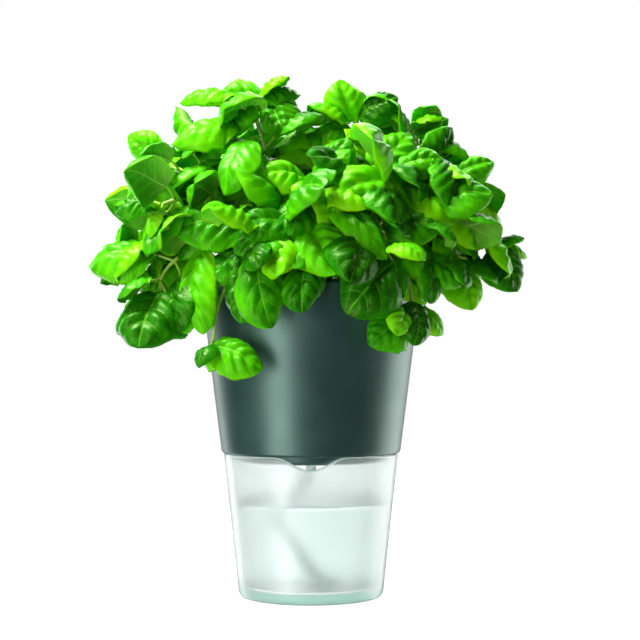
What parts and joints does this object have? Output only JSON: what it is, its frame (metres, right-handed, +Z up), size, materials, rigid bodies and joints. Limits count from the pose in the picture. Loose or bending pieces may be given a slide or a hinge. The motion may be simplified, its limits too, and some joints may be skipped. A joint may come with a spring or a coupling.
{
  "type": "self watering planter",
  "caption": "Tapered dark ceramic herb pot whose spigot sits in a frosted glass reservoir, with a nylon wick that waters a potted basil plant.",
  "frame": {"origin": "centre of the glass reservoir's foot, on the table", "axes": "+Z up along the pot's axis, -Y towards the pouring notch"},
  "size_m": [0.2581, 0.2192, 0.3038],
  "materials": {
    "frosted_glass": "satin frosted, pale mint tint, smooth fire-polished rim",
    "dark_glaze": "satin slate grey glaze with a slight green cast",
    "wick_nylon": "braided off-white nylon",
    "nursery_plastic": "thin matt black plastic",
    "potting_soil": "damp crumbled peat",
    "basil_stem": "pale green, smooth, faintly translucent",
    "basil_leaf": "bright green, glossy and puckered, with paler veins"
  },
  "bodies": {
    "reservoir": {"glass_reservoir": "frosted_glass"},
    "pot": {"ceramic_pot": "dark_glaze", "wick_coil": "wick_nylon", "wick_tail": "wick_nylon"},
    "nursery": {"nursery_pot": "nursery_plastic"},
    "plant": {"soil": "potting_soil", "stem_01": "basil_stem", "stem_02": "basil_stem", "stem_03": "basil_stem", "stem_04": "basil_stem", "stem_05": "basil_stem", "stem_06": "basil_stem", "stem_07": "basil_stem", "stem_08": "basil_stem", "stem_09": "basil_stem", "stem_10": "basil_stem", "stem_11": "basil_stem", "stem_12": "basil_stem", "stem_13": "basil_stem", "stem_14": "basil_stem", "stem_15": "basil_stem", "stem_16": "basil_stem", "stem_17": "basil_stem", "stem_18": "basil_stem", "stem_19": "basil_stem", "stem_20": "basil_stem", "stem_21": "basil_stem", "stem_22": "basil_stem", "stem_23": "basil_stem", "stem_24": "basil_stem", "stem_25": "basil_stem", "stem_26": "basil_stem", "leaves_01": "basil_leaf", "leaves_02": "basil_leaf", "leaves_03": "basil_leaf", "leaves_04": "basil_leaf", "leaves_05": "basil_leaf", "leaves_06": "basil_leaf", "leaves_07": "basil_leaf", "leaves_08": "basil_leaf", "leaves_09": "basil_leaf", "leaves_10": "basil_leaf", "leaves_11": "basil_leaf", "leaves_12": "basil_leaf", "leaves_13": "basil_leaf", "leaves_14": "basil_leaf", "leaves_15": "basil_leaf", "leaves_16": "basil_leaf", "leaves_17": "basil_leaf", "leaves_18": "basil_leaf", "leaves_19": "basil_leaf", "leaves_20": "basil_leaf", "leaves_21": "basil_leaf", "leaves_22": "basil_leaf", "leaves_23": "basil_leaf", "leaves_24": "basil_leaf", "leaves_25": "basil_leaf", "leaves_26": "basil_leaf"}
  },
  "joints": [
    {"name": "pot_lift", "type": "slide", "parent": "reservoir", "child": "pot", "axis": [0, 0, 1], "range_m": [0, 0.1]},
    {"name": "nursery_lift", "type": "slide", "parent": "pot", "child": "nursery", "axis": [0, 0, 1], "range_m": [0, 0.11]},
    {"name": "root_ball_lift", "type": "slide", "parent": "nursery", "child": "plant", "axis": [0, 0, 1], "range_m": [0, 0.09]}
  ]
}
